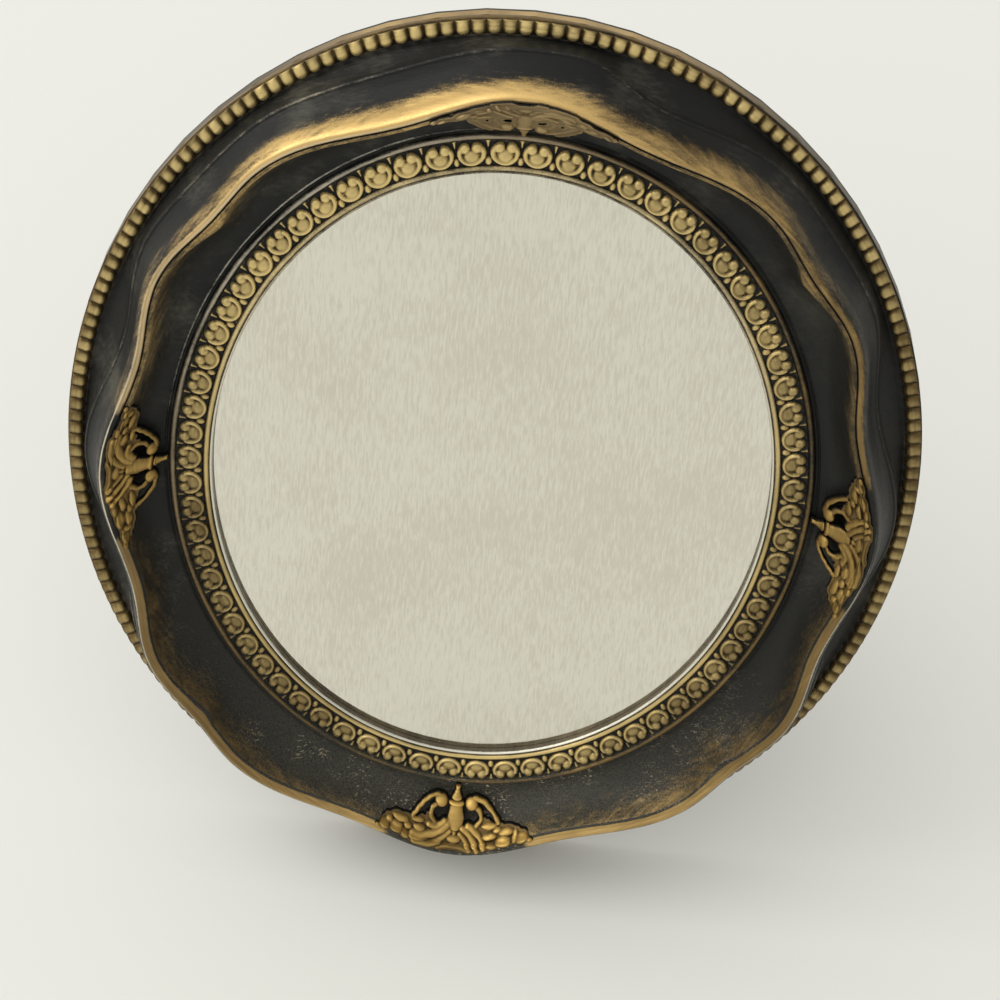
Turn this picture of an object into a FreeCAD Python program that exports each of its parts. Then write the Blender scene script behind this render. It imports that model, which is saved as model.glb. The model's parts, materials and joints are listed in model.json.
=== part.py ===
import FreeCAD, Part
import os
from math import asin, atan2, cos, degrees, hypot, pi, radians, sin

# Table mirror: an oval looking glass in a swept, gilded frame, leaning back on an easel strut.
#
# Every piece is first made upright. The origin is then the middle of the glass's front face, X runs
# to the viewer's right, Z up the glass, and the front faces -Y. A place on the frame is given by its
# turn, clockwise from the top as the viewer sees it, by how far it lies out from the sight edge, and
# by its rise towards the viewer from the front of the glass. At the end the mirror is leant back and
# stood on the table, with the origin in the middle of the whole object's foot.

V = FreeCAD.Vector
os.makedirs("parts", exist_ok=True)

# How it stands
lean_angle = 20.0
strut_open_angle = 36.0

# The oval sight edge, which is what shows of the glass
sight_half_width = 96.6
sight_half_height = 122.0

# Glass, packing and board, from the front to the back
glass_lap = 5.0
glass_thickness = 3.0
pad_thickness = 4.4
board_thickness = 5.0
rebate_clearance = 0.6
glue_gap = 0.05

# Rounded lip at the sight edge
lip_width = 3.2
lip_rise = 1.7
lip_shoulder_share = 0.3

# Flat bed and the row of eggs and darts that lies on it
bed_rise = 0.9
bed_width = 9.4
egg_count = 70
egg_length = 8.3
egg_width = 8.8
egg_height = 1.9
egg_narrow_share = 0.42
egg_shoulder_share = 0.3
egg_top_share = 0.55
dart_length = 2.6
dart_width = 1.9
dart_height = 1.3

# Fillet between the eggs and the cove
fillet_width = 2.1
fillet_height = 1.2
groove_width = 0.9

# Cove and swept ridge. The crest of the ridge waves in and out between its bulges behind the four
# cartouches, the dips beside them, the lobes and the beaks on the diagonals.
ridge_rise = 18.3
band_width = 3.4
band_drop = 1.5
bulge_out = 35.5
dip_out = 30.2
lobe_out = 36.6
beak_out = 34.4
beak_reach = 2.6
beak_half_angle = 6.0
dip_from_top_angle = 18.0
dip_from_side_angle = 17.0
beak_angle = 48.0
lobe_from_beak_angle = 10.0
cove_end_angle = 75.0
cove_steps = 3

# Outer slope, with a step that follows the ridge
slope_run = 2.6
slope_drop = 4.6
step_rise = 1.8
step_from_bulge = 8.6
step_from_dip = 6.6
step_from_lobe = 7.2
step_lip = 2.6

# Row of outer beads in its flat channel, and the wooden ring behind
bead_row_out = 48.2
bead_length = 5.2
bead_height = 2.2
bead_count = 200
bead_fill_share = 0.92
bead_top_share = 0.45
channel_depth = 6.4
channel_margin = 0.5
face_depth = 8.0
ring_depth = 12.4
ring_margin = 0.1

# The cartouches, which lean on the cove from the fillet up to the crest. Their outlines are given by
# shares: the first of each pair is of the half width, around the frame from the middle line, and the
# second is of the length of the slope, up from the fillet.
cartouche_half_width = 27.0
cartouche_head_margin = 1.2
cartouche_root = 9.0
relief_low = 0.9
relief_mid = 2.0
relief_high = 2.8
finial_shares = ((-0.04, 0.02), (0.04, 0.02), (0.03, 0.11), (0.07, 0.19), (-0.07, 0.19), (-0.03, 0.11))
vase_shares = (
    (-0.10, 0.22), (0.10, 0.22), (0.09, 0.31), (0.13, 0.46),
    (0.07, 0.65), (-0.07, 0.65), (-0.13, 0.46), (-0.09, 0.31),
)
plate_shares = (
    (0, 0.59), (0.11, 0.535), (0.27, 0.535), (0.31, 0.34), (0.56, 0.52),
    (0.81, 0.62), (1, 0.71), (0.89, 0.78), (0.52, 0.88), (0, 0.94),
)
inner_leaf_shares = ((0.13, 0.57), (0.24, 0.56), (0.36, 0.71), (0.39, 0.88), (0.27, 0.89), (0.21, 0.73))
outer_leaf_shares = ((0.38, 0.47), (0.5, 0.52), (0.62, 0.64), (0.61, 0.82), (0.5, 0.85), (0.46, 0.66))
arm_start_shares = (0.24, 0.235)
arm_end_shares = (0.58, 0.505)
arm_half_width = 0.8
oval_bead_shares = (0, 0.755)
oval_bead_half_length = 2.6
oval_bead_half_width = 1.4
ball_shares = (0.19, 0.265)
ball_radius = 2.1
tie_shares = (0.755, 0.64)
tie_radius = 2.6
small_top_share = 0.5
plate_top_share = 0.96
leaf_top_share = 0.6

# Turn buttons and their screws, on the back
button_angles = (45.0, 135.0, 225.0, 315.0)
button_sides = ("upper_right", "lower_right", "lower_left", "upper_left")
button_thickness = 1.0
button_big_radius = 6.0
button_tip_radius = 3.6
button_reach = 16.0
button_gap = 0.1
screw_from_rebate = 9.0
screw_shank_radius = 1.5
screw_thread_radius = 1.3
screw_head_radius = 3.2
screw_head_height = 1.8
screw_length = 5.2
running_gap = 0.05

# Easel strut and its hinge
hinge_height = 45.0
strut_thickness = 5.0
strut_top_width = 44.0
strut_foot_width = 90.0
strut_corner_radius = 8.0
strut_arch_width = 30.0
strut_arch_height = 3.0
knuckle_radius = 2.5
pin_radius = 1.1
pin_head_radius = 2.0
pin_head_length = 0.9
leaf_thickness = 1.0
leaf_width = 34.0
leaf_height = 22.0
middle_knuckle = 14.0
knuckle_gap = 0.2
strut_below_pin = 4.0
fold_gap = 0.2
stop_width = 9.0
stop_length = 8.0
stop_gap = 0.12
rivet_radius = 1.6
rivet_head_radius = 3.0
rivet_head_height = 0.9
rivet_from_middle = 10.5
rivet_from_pin = 13.5

# Drawing of round things, and how far a cutting tool runs past what it cuts. What must turn is round.
# Small heads and fixed shanks have a few flat sides, and the oval has a flat one at each section.
sections_around = 60
small_sides = 8
ball_sides = 6
button_end_sides = 5
samples_per_item = 40
tangent_angle = 1.0
overrun = 20.0

# What follows from the sizes above
glass_out = glass_lap
rebate_out = glass_lap + rebate_clearance
bed_out = lip_width + bed_width
fillet_out = bed_out + fillet_width
fillet_rise = bed_rise + fillet_height
cove_out = fillet_out + groove_width
bead_in = bead_row_out - bead_length / 2
bead_out = bead_row_out + bead_length / 2
face_out = bead_out + channel_margin
ring_out = face_out + ring_margin
band_rise = ridge_rise - band_drop
board_front = glass_thickness + pad_thickness
board_back = board_front + board_thickness
pin_y = board_back + fold_gap + knuckle_radius
strut_front = board_back + fold_gap + leaf_thickness
strut_back = strut_front + strut_thickness
strut_top = hinge_height - strut_below_pin
fastener_out = rebate_out + screw_from_rebate
slope_foot = (fillet_out, fillet_rise)
slope_head = (bulge_out + cartouche_head_margin, ridge_rise + cartouche_head_margin)
slope_run_out = slope_head[0] - slope_foot[0]
slope_climb = slope_head[1] - slope_foot[1]
slope_length = hypot(slope_run_out, slope_climb)
section_turns = [2 * pi * number / sections_around for number in range(sections_around)]


def on_oval(turn, out, rise):
    """The point at a turn in radians, out from the sight edge and towards the viewer."""
    x = (sight_half_width + out) * sin(turn)
    z = (sight_half_height + out) * cos(turn)
    return V(x, -rise, z)


def flat_face(points):
    """A plane face through points in order."""
    return Part.Face(Part.makePolygon(points + points[:1]))


def oval_slab(out, front_rise, back_rise):
    """A flat oval plate between two heights."""
    points = [on_oval(turn, out, front_rise) for turn in section_turns]
    return flat_face(points).extrude(V(0, front_rise - back_rise, 0))


def oval_ring(inner_out, outer_out, front_rise, back_rise):
    """A flat oval ring with upright walls."""
    hole = oval_slab(inner_out, front_rise + overrun, back_rise - overrun)
    return oval_slab(outer_out, front_rise, back_rise).cut(hole)


def solid_from(faces):
    """The solid that a closed set of faces bounds."""
    skin = Part.makeShell(faces)
    skin.sewShape()
    return Part.makeSolid(skin)


def moulded_ring(profile_at):
    """A ring whose section, a list of (out, rise), may change on its way round, with flat faces."""
    sections = []
    for turn in section_turns:
        sections.append([on_oval(turn, out, rise) for out, rise in profile_at(turn)])
    faces = []
    for here, ahead in zip(sections, sections[1:] + sections[:1]):
        for corner in range(len(here)):
            after = (corner + 1) % len(here)
            faces.append(flat_face([here[corner], ahead[corner], ahead[after]]))
            faces.append(flat_face([here[corner], ahead[after], here[after]]))
    return solid_from(faces)


def quarter_angle(turn):
    """Degrees from the nearer of top and bottom, because the four quarters are alike."""
    half_turn = degrees(turn) % 180.0
    return min(half_turn, 180.0 - half_turn)


def wave(turn, bulge, dip, lobe, beak):
    """A smooth wave around the frame through the four kinds of station."""
    stations = (
        (0, bulge),
        (dip_from_top_angle, dip),
        (beak_angle - lobe_from_beak_angle, lobe),
        (beak_angle, beak),
        (beak_angle + lobe_from_beak_angle, lobe),
        (90.0 - dip_from_side_angle, dip),
        (90.0, bulge),
    )
    angle = quarter_angle(turn)
    for (angle_a, out_a), (angle_b, out_b) in zip(stations, stations[1:]):
        if angle <= angle_b:
            share = (angle - angle_a) / (angle_b - angle_a)
            return out_a + (out_b - out_a) * (1 - cos(pi * share)) / 2
    return bulge


def crest_at(turn):
    """How far out the crest of the ridge lies."""
    return wave(turn, bulge_out, dip_out, lobe_out, beak_out)


def step_at(turn):
    """How far out the step in the outer slope lies."""
    return wave(
        turn,
        bulge_out + step_from_bulge,
        dip_out + step_from_dip,
        lobe_out + step_from_lobe,
        beak_out + step_from_bulge,
    )


def band_at(turn):
    """How far out the inner edge of the gilded band lies. It points inwards at each beak."""
    nearness = max(0, 1 - abs(quarter_angle(turn) - beak_angle) / beak_half_angle)
    return crest_at(turn) - band_width - beak_reach * nearness


def lip_profile(turn):
    """Half-round lip that holds the glass."""
    return [
        (0, 0),
        (lip_width * lip_shoulder_share, lip_rise),
        (lip_width * (1 - lip_shoulder_share), lip_rise),
        (lip_width - glue_gap, 0),
    ]


def cove_points(turn):
    """The hollow of the cove, a stretched arc from the fillet up to the gilded band."""
    width = band_at(turn) - cove_out
    height = band_rise - bed_rise
    end = radians(cove_end_angle)
    points = []
    for number in range(cove_steps + 1):
        angle = end * number / cove_steps
        out = cove_out + width * sin(angle) / sin(end)
        rise = bed_rise + height * (1 - cos(angle)) / (1 - cos(end))
        points.append((out, rise))
    return points


def face_profile(turn):
    """Section of the moulded face: tongue, bed, fillet, cove, ridge, slope, step and channel."""
    crest = crest_at(turn)
    step = step_at(turn)
    front = [
        (lip_width, 0),
        (lip_width, bed_rise),
        (bed_out, bed_rise),
        (bed_out, fillet_rise),
        (fillet_out, fillet_rise),
    ]
    slope = [
        (crest, ridge_rise),
        (crest + slope_run, ridge_rise - slope_drop),
        (step - step_lip, step_rise + step_lip),
        (step, step_rise),
        (bead_in - channel_margin, -channel_depth),
        (face_out, -channel_depth),
    ]
    back = [
        (face_out, -face_depth),
        (rebate_out, -face_depth),
        (rebate_out, 0),
    ]
    return front + cove_points(turn) + slope + back


def frame_at(turn, out, rise, slope):
    """Origin and axes on the frame: around it, up a slope in degrees, and square off the slope."""
    step = radians(tangent_angle)
    around = (on_oval(turn + step, out, rise) - on_oval(turn - step, out, rise)).normalize()
    front = V(0, -1, 0)
    outward = front.cross(around)
    upward = outward * cos(radians(slope)) + front * sin(radians(slope))
    normal = around.cross(upward)
    return on_oval(turn, out, rise), around, upward, normal


def stand_on(shape, frame):
    """A copy of a shape that was made about the origin, set up on a frame from frame_at."""
    origin, around, upward, normal = frame
    matrix = FreeCAD.Matrix(
        around.x, upward.x, normal.x, origin.x,
        around.y, upward.y, normal.y, origin.y,
        around.z, upward.z, normal.z, origin.z,
        0, 0, 0, 1,
    )
    copy = shape.copy()
    copy.Placement = FreeCAD.Placement(matrix)
    return copy


def boss(outline, levels):
    """A carved boss with flat faces: an outline in the XY plane, drawn in by a share at each level."""
    rings = [[V(share * x, share * y, level) for x, y in outline] for share, level in levels]
    faces = [flat_face(rings[0]), flat_face(rings[-1])]
    for lower, upper in zip(rings, rings[1:]):
        for number in range(len(outline)):
            after = (number + 1) % len(outline)
            faces.append(flat_face([lower[number], lower[after], upper[after], upper[number]]))
    return solid_from(faces)


def pointed_boss(outline, height):
    """A carved boss that rises from an outline in the XY plane to a point over the origin."""
    base = [V(x, y, 0) for x, y in outline]
    tip = V(0, 0, height)
    faces = [flat_face(base)]
    for here, after in zip(base, base[1:] + base[:1]):
        faces.append(flat_face([here, after, tip]))
    return solid_from(faces)


def turn_for_distance(start, out, distance):
    """The turn a distance around the frame from an axis, going clockwise."""
    across = abs(cos(start)) > abs(sin(start))
    half_size = sight_half_width if across else sight_half_height
    return start + distance / (half_size + out)


def even_turns(count, out):
    """Turns that space a count of things evenly along the oval, not evenly in angle."""
    fine = samples_per_item * count
    lengths = [0.0]
    for number in range(fine):
        a = on_oval(2 * pi * number / fine, out, 0)
        b = on_oval(2 * pi * (number + 1) / fine, out, 0)
        lengths.append(lengths[-1] + a.distanceToPoint(b))
    turns = []
    number = 0
    for item in range(count):
        wanted = lengths[-1] * item / count
        while lengths[number + 1] < wanted:
            number += 1
        share = (wanted - lengths[number]) / (lengths[number + 1] - lengths[number])
        turns.append(2 * pi * (number + share) / fine)
    return turns


def egg():
    """One egg, with its narrow end towards the glass."""
    half_length = egg_length / 2
    half_width = egg_width / 2
    narrow = half_width * egg_narrow_share
    shoulder = half_length * egg_shoulder_share
    outline = [
        (-narrow, -half_length),
        (narrow, -half_length),
        (half_width, shoulder),
        (narrow, half_length),
        (-narrow, half_length),
        (-half_width, shoulder),
    ]
    return boss(outline, ((1, 0), (egg_top_share, egg_height)))


def dart():
    """The small pointed bead between two eggs."""
    half_length = dart_length / 2
    half_width = dart_width / 2
    outline = [(0, -half_length), (half_width, 0), (0, half_length), (-half_width, 0)]
    return pointed_boss(outline, dart_height)


def egg_and_dart_row():
    """The eggs and darts, seated on the bed."""
    row_out = lip_width + bed_width / 2
    dart_out = row_out - egg_length / 2 + dart_length / 2
    pieces = []
    for turn in even_turns(egg_count, row_out):
        pieces.append(stand_on(egg(), frame_at(turn, row_out, bed_rise, 0)))
        between = turn + pi / egg_count
        pieces.append(stand_on(dart(), frame_at(between, dart_out, bed_rise, 0)))
    return Part.makeCompound(pieces)


def bead_row():
    """The transverse beads, seated in the channel at the frame's outer edge."""
    turns = even_turns(bead_count, bead_row_out)
    pitch = on_oval(turns[0], bead_row_out, 0).distanceToPoint(on_oval(turns[1], bead_row_out, 0))
    half_width = pitch * bead_fill_share / 2
    top = half_width * bead_top_share
    front_edge = -bead_length / 2
    corners = [
        V(-half_width, front_edge, 0),
        V(half_width, front_edge, 0),
        V(top, front_edge, bead_height),
        V(-top, front_edge, bead_height),
    ]
    bead = flat_face(corners).extrude(V(0, bead_length, 0))
    places = [frame_at(turn, bead_row_out, -channel_depth, 0) for turn in turns]
    return Part.makeCompound([stand_on(bead, place) for place in places])


def on_slope(place):
    """A place on a cartouche, from its two shares to millimetres around and up the slope."""
    return place[0] * cartouche_half_width, place[1] * slope_length


def mirrored(outline):
    """The same outline on the other side of the cartouche's middle line."""
    return [(-u, w) for u, w in reversed(outline)]


def around_centre(outline):
    """An outline moved so that its middle is the origin, and where that middle was."""
    u_values = [u for u, w in outline]
    w_values = [w for u, w in outline]
    middle_u = (min(u_values) + max(u_values)) / 2
    middle_w = (min(w_values) + max(w_values)) / 2
    return [(u - middle_u, w - middle_w) for u, w in outline], middle_u, middle_w


def oval_outline(place, half_u, half_w):
    """A many-sided oval, for balls, knobs and beads."""
    u, w = on_slope(place)
    points = []
    for number in range(ball_sides):
        angle = 2 * pi * (number + 1 / 2) / ball_sides
        points.append((u + half_u * cos(angle), w + half_w * sin(angle)))
    return points


def arm_outline():
    """The straight arm that carries a scroll, a bar between two places."""
    start_u, start_w = on_slope(arm_start_shares)
    end_u, end_w = on_slope(arm_end_shares)
    length = hypot(end_u - start_u, end_w - start_w)
    side_u = -(end_w - start_w) / length * arm_half_width
    side_w = (end_u - start_u) / length * arm_half_width
    return [
        (start_u - side_u, start_w - side_w),
        (end_u - side_u, end_w - side_w),
        (end_u + side_u, end_w + side_w),
        (start_u + side_u, start_w + side_w),
    ]


def carved(start, outline, level, top_share):
    """A boss on the slope, with a root that goes straight back into the cove."""
    centred, middle_u, middle_w = around_centre(outline)
    share = middle_w / slope_length
    out = slope_foot[0] + slope_run_out * share
    rise = slope_foot[1] + slope_climb * share
    slope_angle = degrees(atan2(slope_climb, slope_run_out))
    place = frame_at(turn_for_distance(start, out, middle_u), out, rise, slope_angle)
    relief = stand_on(boss(centred, ((1, 0), (top_share, level))), place)
    root_face = stand_on(flat_face([V(u, w, 0) for u, w in centred]), place)
    return relief.fuse(root_face.extrude(V(0, cartouche_root, 0)))


def cartouche(start):
    """One pierced cartouche: vase, finial, two balls on arms, leaves, tied ends and an oval bead."""
    oval_bead = oval_outline(oval_bead_shares, oval_bead_half_length, oval_bead_half_width)
    middle = [
        ([on_slope(place) for place in finial_shares], relief_mid, small_top_share),
        ([on_slope(place) for place in vase_shares], relief_high, leaf_top_share),
        (oval_bead, relief_high, small_top_share),
    ]
    side = [
        ([on_slope(place) for place in plate_shares], relief_low, plate_top_share),
        (oval_outline(ball_shares, ball_radius, ball_radius), relief_high, small_top_share),
        (arm_outline(), relief_mid, small_top_share),
        ([on_slope(place) for place in inner_leaf_shares], relief_mid, leaf_top_share),
        ([on_slope(place) for place in outer_leaf_shares], relief_mid, leaf_top_share),
        (oval_outline(tie_shares, tie_radius, tie_radius), relief_high, small_top_share),
    ]
    bosses = [carved(start, *item) for item in middle]
    for outline, level, top_share in side:
        bosses.append(carved(start, outline, level, top_share))
        bosses.append(carved(start, mirrored(outline), level, top_share))
    return bosses[0].multiFuse(bosses[1:])


def back_place(angle):
    """Origin and axes on the ring's back, under a turn button: sideways, inwards and backwards."""
    origin, around, outward, front = frame_at(radians(angle), fastener_out, -ring_depth, 0)
    return origin, around, -outward, -front


def cylinder(radius, start, end):
    """A cylinder along the local Z axis."""
    return Part.makeCylinder(radius, end - start, V(0, 0, start))


def small_bar(radius, start, end):
    """A bar along the local Z axis with a few flat sides, for heads and fixed shanks."""
    points = []
    for number in range(small_sides):
        angle = 2 * pi * (number + 1 / 2) / small_sides
        points.append(V(radius * cos(angle), radius * sin(angle), start))
    return flat_face(points).extrude(V(0, 0, end - start))


def button_face():
    """A pear shape: a large round end at the screw and a small one at the tip, joined by tangents."""
    lean = asin((button_big_radius - button_tip_radius) / button_reach)
    points = []
    for number in range(button_end_sides + 1):
        angle = lean + (pi - 2 * lean) * number / button_end_sides
        height = button_reach + button_tip_radius * sin(angle)
        points.append(V(button_tip_radius * cos(angle), height, 0))
    for number in range(button_end_sides + 1):
        angle = pi - lean + (pi + 2 * lean) * number / button_end_sides
        points.append(V(button_big_radius * cos(angle), button_big_radius * sin(angle), 0))
    return flat_face(points)


def turn_button():
    """The flat button that holds the board in, with the hole for its screw."""
    plate = button_face().extrude(V(0, 0, button_thickness))
    plate.translate(V(0, 0, button_gap))
    return plate.cut(cylinder(screw_shank_radius + running_gap, -overrun, overrun))


def button_screw():
    """A short wood screw, with its head seated just clear of its button."""
    head_start = 2 * button_gap + button_thickness
    threaded = small_bar(screw_thread_radius, head_start - screw_length, 0)
    journal = cylinder(screw_shank_radius, 0, head_start)
    head = small_bar(screw_head_radius, head_start, head_start + screw_head_height)
    return threaded.fuse([journal, head])


def barrel(start, end, radius):
    """A round bar along the hinge line."""
    return Part.makeCylinder(radius, end - start, V(start, pin_y, hinge_height), V(1, 0, 0))


def across_block(half_width, y_start, y_end, z_start, z_end):
    """An upright block with its middle plane at X zero."""
    size = (2 * half_width, y_end - y_start, z_end - z_start)
    return Part.makeBox(*size, V(-half_width, y_start, z_start))


def board_leaf():
    """The hinge leaf on the board, above the pin, with the two outer knuckles."""
    half = leaf_width / 2
    inner = middle_knuckle / 2 + knuckle_gap
    front = board_back
    back = board_back + leaf_thickness
    plate = across_block(half, front, back, hinge_height, hinge_height + leaf_height)
    room = hinge_height + knuckle_radius + knuckle_gap
    plate = plate.cut(across_block(inner, front - overrun, back + overrun, hinge_height - overrun, room))
    leaf = plate.fuse(barrel(-half, -inner, knuckle_radius)).fuse(barrel(inner, half, knuckle_radius))
    leaf = leaf.cut(barrel(-overrun, overrun, pin_radius + running_gap))
    return leaf.cut(rivet_holes(rivet_from_pin))


def rivet_bar(x, from_pin, radius, front, back):
    """Part of a rivet, or of its hole, which runs from the front backwards."""
    bar = small_bar(radius, front, back)
    bar.rotate(V(0, 0, 0), V(1, 0, 0), -90.0)
    bar.translate(V(x, 0, hinge_height + from_pin))
    return bar


def rivet_holes(from_pin):
    """Holes for a pair of rivets, above or below the pin."""
    places = (-rivet_from_middle, rivet_from_middle)
    bars = [rivet_bar(x, from_pin, rivet_radius, -overrun, 2 * overrun) for x in places]
    return Part.makeCompound(bars)


def rivets(from_pin, front, back):
    """A pair of rivets, flush in front and with low heads behind."""
    pieces = []
    for x in (-rivet_from_middle, rivet_from_middle):
        shank = rivet_bar(x, from_pin, rivet_radius, front, back)
        head = rivet_bar(x, from_pin, rivet_head_radius, back, back + rivet_head_height)
        pieces.append(shank.fuse(head))
    return Part.makeCompound(pieces)


def hinge_pin():
    """The pin, with a head at each end of the hinge."""
    half = leaf_width / 2 + running_gap
    pin = barrel(-half, half, pin_radius)
    for start in (-half - pin_head_length, half):
        head = small_bar(pin_head_radius, 0, pin_head_length)
        head.rotate(V(0, 0, 0), V(0, 1, 0), 90.0)
        head.translate(V(start, pin_y, hinge_height))
        pin = pin.fuse(head)
    return pin


def opened(shape):
    """A piece of the strut swung out from the board to where it stands."""
    copy = shape.copy()
    copy.rotate(V(0, pin_y, hinge_height), V(1, 0, 0), strut_open_angle)
    return copy


def strut_leaf():
    """The hinge leaf on the strut, below the pin, with the middle knuckle and its stop."""
    half = leaf_width / 2
    inner = middle_knuckle / 2
    front = board_back + fold_gap
    back = front + leaf_thickness
    room = hinge_height - knuckle_radius - knuckle_gap
    plate = across_block(half, front, back, hinge_height - leaf_height, room)
    plate = plate.fuse(across_block(inner, front, back, room, hinge_height))
    leaf = opened(plate.fuse(barrel(-inner, inner, knuckle_radius)).cut(rivet_holes(-rivet_from_pin)))
    stop_front = board_back + leaf_thickness + stop_gap
    stop_back = stop_front + leaf_thickness
    stop_low = hinge_height + pin_radius
    stop = across_block(stop_width / 2, stop_front, stop_back, stop_low, hinge_height + stop_length)
    return leaf.fuse(stop).cut(barrel(-overrun, overrun, pin_radius + running_gap))


def table_height():
    """Where the table lies under the leaning mirror, measured up from the middle of the glass."""
    bottom = sight_half_height + ring_out
    return -ring_depth * sin(radians(lean_angle)) - bottom * cos(radians(lean_angle))


def leant(shape):
    """A piece leant back with the mirror, about the middle of the glass."""
    copy = shape.copy()
    copy.rotate(V(0, 0, 0), V(1, 0, 0), -lean_angle)
    return copy


def strut():
    """The tapered easel strut, cut level with the table and arched between two toes."""
    pin_above = hinge_height * cos(radians(lean_angle)) - pin_y * sin(radians(lean_angle))
    reach = (pin_above - table_height()) / cos(radians(strut_open_angle - lean_angle))
    foot = hinge_height - reach
    low = foot - overrun
    flare = (strut_foot_width - strut_top_width) / 2 / (strut_top - foot)
    low_half = strut_top_width / 2 + flare * (strut_top - low)
    corners = [
        V(-strut_top_width / 2, strut_front, strut_top),
        V(strut_top_width / 2, strut_front, strut_top),
        V(low_half, strut_front, low),
        V(-low_half, strut_front, low),
    ]
    blank = flat_face(corners).extrude(V(0, strut_thickness, 0))
    upper = []
    for edge in blank.Edges:
        ends = [vertex.Point for vertex in edge.Vertexes]
        if min(ends[0].z, ends[1].z) > strut_top - strut_below_pin and abs(ends[0].y - ends[1].y) > 0:
            upper.append(edge)
    blank = blank.makeFillet(strut_corner_radius, upper).cut(rivet_holes(-rivet_from_pin))
    arch_radius = (strut_arch_width**2 / 4 + strut_arch_height**2) / (2 * strut_arch_height)
    arch_middle = V(0, strut_front - overrun, foot + strut_arch_height - arch_radius)
    arch = Part.makeCylinder(arch_radius, strut_thickness + 2 * overrun, arch_middle, V(0, 1, 0))
    standing = leant(opened(blank.cut(arch)))
    size = sight_half_height + ring_out + overrun
    under = Part.makeBox(2 * size, 4 * size, size, V(-size, -size, table_height() - size))
    return standing.cut(under)


def easel_board():
    """The back board, with holes for the rivets of the hinge."""
    return oval_slab(glass_out, -board_front, -board_back).cut(rivet_holes(rivet_from_pin))


button_places = [back_place(angle) for angle in button_angles]
screw_hole = small_bar(screw_thread_radius, 2 * button_gap + button_thickness - screw_length, overrun)
screw_holes = Part.makeCompound([stand_on(screw_hole, place) for place in button_places])
screws = [stand_on(button_screw(), place) for place in button_places]
face = moulded_ring(face_profile)

upright = {
    "moulded_face": face,
    "wooden_ring": oval_ring(rebate_out, ring_out, -face_depth, -ring_depth).cut(screw_holes),
    "sight_edge_lip": moulded_ring(lip_profile),
    "egg_and_dart_row": egg_and_dart_row(),
    "outer_bead_row": bead_row(),
    "mirror_glass": oval_slab(glass_out, 0, -glass_thickness),
    "packing_card": oval_slab(glass_out, -glass_thickness, -board_front),
    "back_board": easel_board(),
    "board_hinge_leaf": board_leaf(),
    "board_rivets": rivets(rivet_from_pin, board_front, board_back + leaf_thickness),
    "hinge_pin": hinge_pin(),
    "turn_button_screws": Part.makeCompound(screws),
    "strut_hinge_leaf": strut_leaf(),
    "strut_rivets": opened(rivets(-rivet_from_pin, board_back + fold_gap, strut_back)),
}
for side, angle in (("top", 0), ("right", 90.0), ("bottom", 180.0), ("left", 270.0)):
    upright[side + "_cartouche"] = cartouche(radians(angle)).cut(face)
for side, place in zip(button_sides, button_places):
    upright["turn_button_" + side] = stand_on(turn_button(), place)

pieces = {name: leant(shape) for name, shape in upright.items()}
pieces["easel_strut"] = strut()

# The origin is on the table, under the middle of the box that holds the whole object.
front_y = min(shape.optimalBoundingBox().YMin for shape in pieces.values())
back_y = max(shape.optimalBoundingBox().YMax for shape in pieces.values())
to_origin = V(0, -(front_y + back_y) / 2, -table_height())
for name, shape in pieces.items():
    shape.translate(to_origin)
    shape.exportStep("parts/" + name + ".step")


def placed_point(y, z):
    """Where an upright point in the middle plane ends up."""
    angle = radians(lean_angle)
    return V(0, y * cos(angle) + z * sin(angle), z * cos(angle) - y * sin(angle)) + to_origin


print("middle of the glass", placed_point(0, 0))
print("hinge pin", placed_point(pin_y, hinge_height))
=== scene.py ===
import json
from math import atan2, cos, pi, radians, sin

import bpy
import numpy as np
from mathutils import Matrix, Vector


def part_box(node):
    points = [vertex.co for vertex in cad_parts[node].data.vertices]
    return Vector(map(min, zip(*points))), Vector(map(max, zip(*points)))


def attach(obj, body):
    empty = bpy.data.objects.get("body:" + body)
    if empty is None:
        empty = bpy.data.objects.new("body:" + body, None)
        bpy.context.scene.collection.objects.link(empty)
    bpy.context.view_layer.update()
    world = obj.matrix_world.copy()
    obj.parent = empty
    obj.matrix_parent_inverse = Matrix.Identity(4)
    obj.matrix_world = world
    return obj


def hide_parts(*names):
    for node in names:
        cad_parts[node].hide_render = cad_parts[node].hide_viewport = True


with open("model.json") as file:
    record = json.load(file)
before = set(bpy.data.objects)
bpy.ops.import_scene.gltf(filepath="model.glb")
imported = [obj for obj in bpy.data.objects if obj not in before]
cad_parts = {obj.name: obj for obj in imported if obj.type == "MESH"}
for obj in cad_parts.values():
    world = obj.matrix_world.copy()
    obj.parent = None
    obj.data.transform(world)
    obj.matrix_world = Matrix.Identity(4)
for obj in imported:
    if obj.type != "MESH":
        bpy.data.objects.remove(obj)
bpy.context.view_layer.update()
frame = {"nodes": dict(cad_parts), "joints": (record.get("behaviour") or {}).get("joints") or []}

# The looks of the table mirror: its carved and gilded front, its silvered glass and the plain back.
#
# A place on the frame is a turn, clockwise from the top as the viewer sees it, a distance out from the
# sight edge, and a rise towards the viewer from the front of the glass. Those distances are in
# millimetres here, and every finished mesh is in metres.
mm = 0.001

# Sight edge, lip and bed
sight_half_width = 96.6
sight_half_height = 122.0
glass_thickness = 3.0
glass_lap = 5.0
lip_width = 3.2
lip_rise = 1.7
lip_bead_width = 1.05
silver_depth = 2.0
hair = 0.02
bed_rise = 0.9
bed_width = 9.4
fillet_width = 2.1
fillet_height = 1.2
groove_width = 1.3
groove_depth = 0.5
arris_width = 0.5
arris_height = 0.3

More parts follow.
